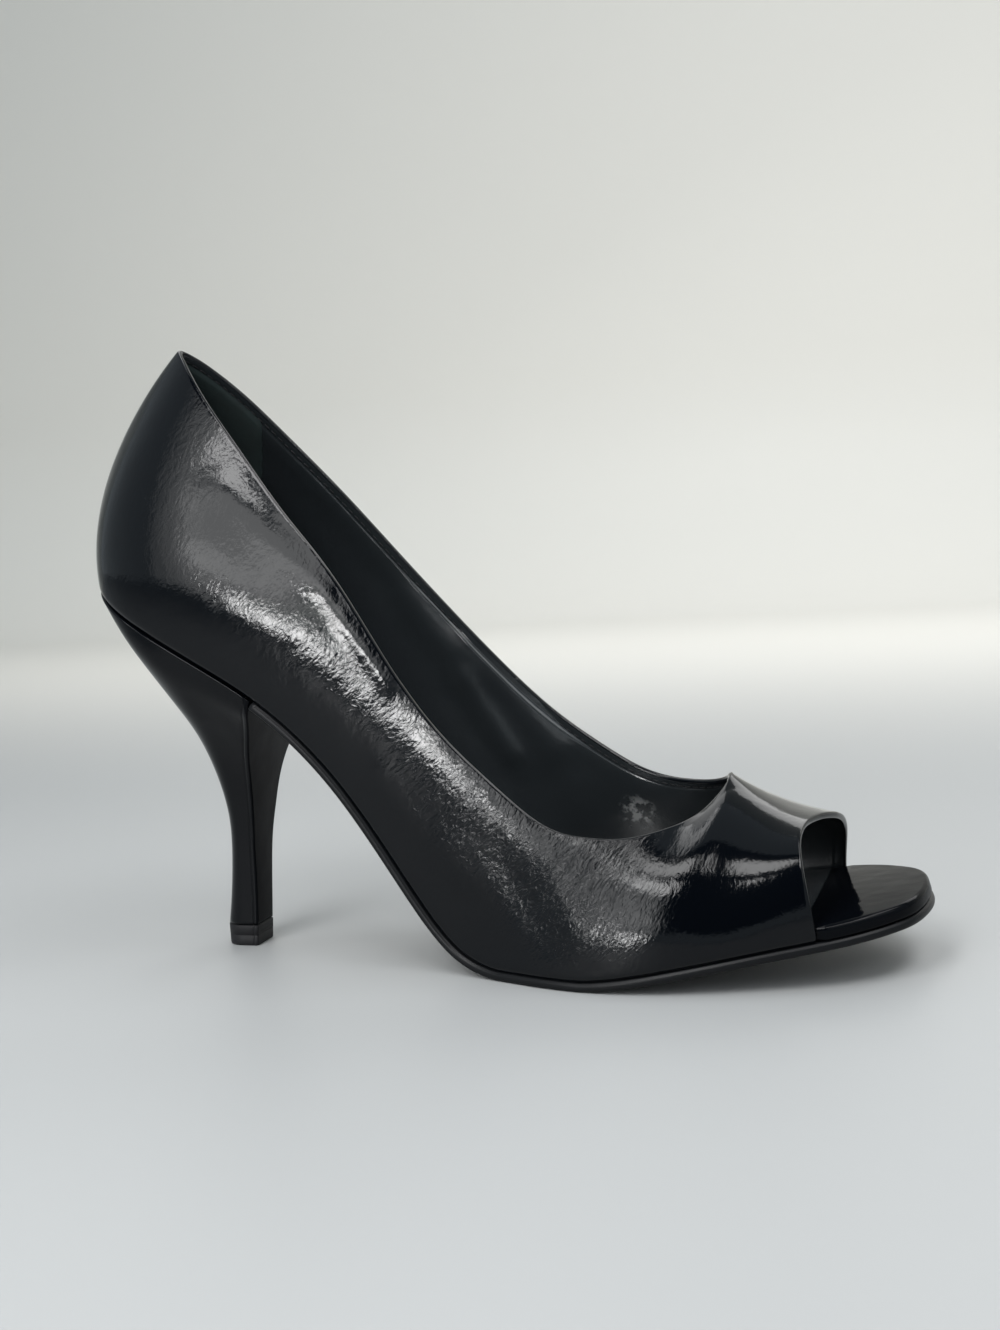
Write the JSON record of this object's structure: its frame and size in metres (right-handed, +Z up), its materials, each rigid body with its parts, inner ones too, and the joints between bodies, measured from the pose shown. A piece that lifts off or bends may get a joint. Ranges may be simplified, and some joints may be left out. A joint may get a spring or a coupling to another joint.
{
  "type": "peep toe pump",
  "caption": "Right peep toe pump in crinkled black patent: hollow upper open at collar and toe, thin arched sole, slim flared high heel",
  "frame": {"origin": "centre of the underside of the shoe's bounding box, on the floor", "axes": "+X towards the toe, +Y towards the inner (medial) side, +Z up"},
  "size_m": [0.2278, 0.0774, 0.1693],
  "materials": {
    "crinkled_patent": "crinkled glossy black patent",
    "wrapped_board": "glossy black patent wrap, dark lining on top",
    "matte_rubber": "matte black sole",
    "smooth_patent": "smooth glossy black patent cover",
    "matte_plastic": "matte black top piece"
  },
  "bodies": {
    "root": {"upper": "crinkled_patent", "insole": "wrapped_board", "outsole": "matte_rubber", "heel": "smooth_patent", "heel_tip": "matte_plastic"}
  },
  "joints": []
}
